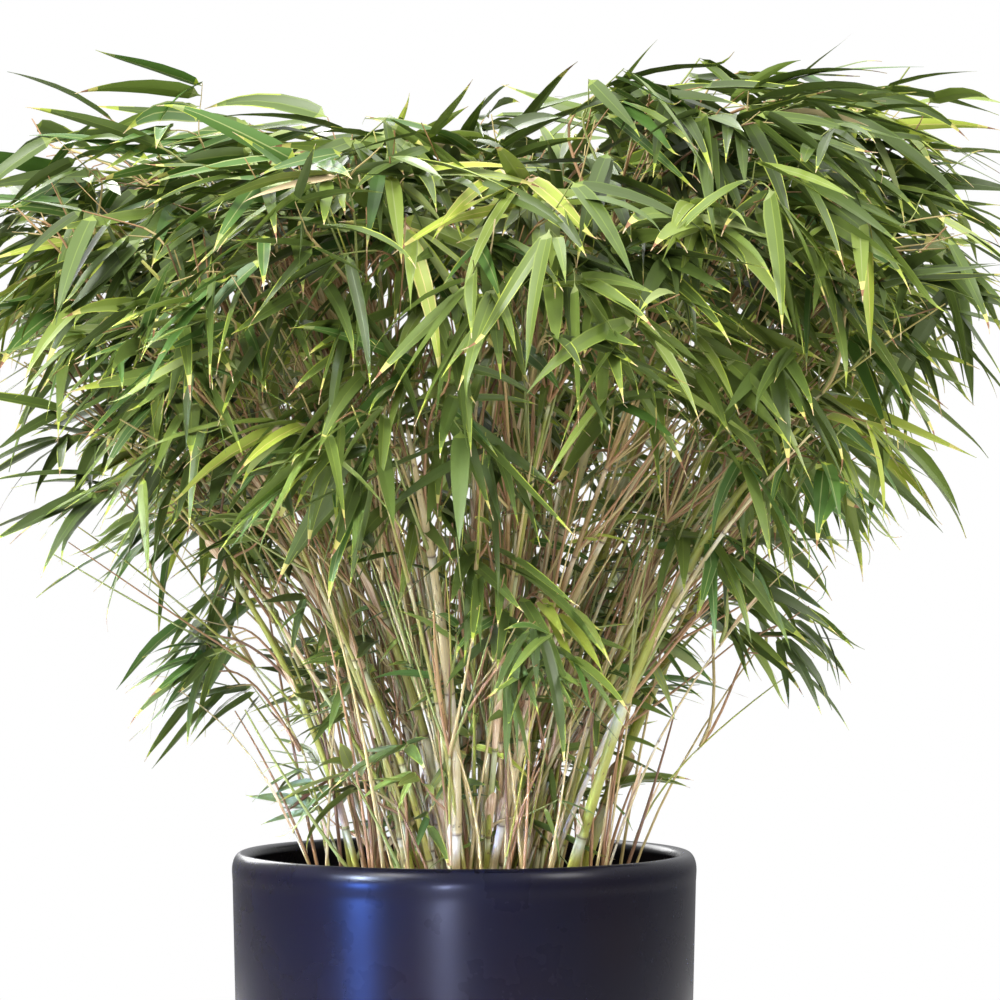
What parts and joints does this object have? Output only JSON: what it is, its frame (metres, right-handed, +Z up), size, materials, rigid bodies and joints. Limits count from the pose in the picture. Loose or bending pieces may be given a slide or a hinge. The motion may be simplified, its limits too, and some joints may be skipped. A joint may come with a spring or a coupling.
{
  "type": "potted bamboo",
  "caption": "Clump-forming bamboo in a round glazed planter: slender canes fan out of the soil into a wide, open, flat-topped crown of narrow leaves.",
  "frame": {"origin": "centre of the planter's flat underside, where it stands on the floor", "axes": "+Z up along the planter's axis; -Y is the front, the side the plant is looked at from; +X to the right"},
  "size_m": [1.0078, 0.946, 1.1327],
  "materials": {
    "pot": "satin",
    "soil": "matte",
    "cane": "satin",
    "foliage": "satin"
  },
  "bodies": {
    "root": {"cane_heart_1": "cane", "cane_lower_1": "cane", "cane_lower_2": "cane", "cane_lower_3": "cane", "cane_lower_4": "cane", "cane_lower_5": "cane", "cane_middle_1": "cane", "cane_middle_2": "cane", "cane_middle_3": "cane", "cane_middle_4": "cane", "cane_middle_5": "cane", "cane_middle_6": "cane", "cane_skirt_1": "cane", "cane_skirt_2": "cane", "cane_skirt_3": "cane", "cane_skirt_4": "cane", "cane_top_1": "cane", "cane_top_2": "cane", "cane_top_3": "cane", "cane_top_4": "cane", "cane_top_5": "cane", "cane_top_6": "cane", "cane_upper_1": "cane", "cane_upper_2": "cane", "cane_upper_3": "cane", "cane_upper_4": "cane", "cane_upper_5": "cane", "cane_upper_6": "cane", "cane_upper_7": "cane", "foliage_heart_1": "foliage", "foliage_lower_1": "foliage", "foliage_lower_2": "foliage", "foliage_lower_3": "foliage", "foliage_lower_4": "foliage", "foliage_lower_5": "foliage", "foliage_middle_1": "foliage", "foliage_middle_2": "foliage", "foliage_middle_3": "foliage", "foliage_middle_4": "foliage", "foliage_middle_5": "foliage", "foliage_middle_6": "foliage", "foliage_skirt_1": "foliage", "foliage_skirt_2": "foliage", "foliage_skirt_3": "foliage", "foliage_skirt_4": "foliage", "foliage_top_1": "foliage", "foliage_top_2": "foliage", "foliage_top_3": "foliage", "foliage_top_4": "foliage", "foliage_top_5": "foliage", "foliage_top_6": "foliage", "foliage_upper_1": "foliage", "foliage_upper_2": "foliage", "foliage_upper_3": "foliage", "foliage_upper_4": "foliage", "foliage_upper_5": "foliage", "foliage_upper_6": "foliage", "foliage_upper_7": "foliage", "pot": "pot", "soil": "soil"}
  },
  "joints": []
}
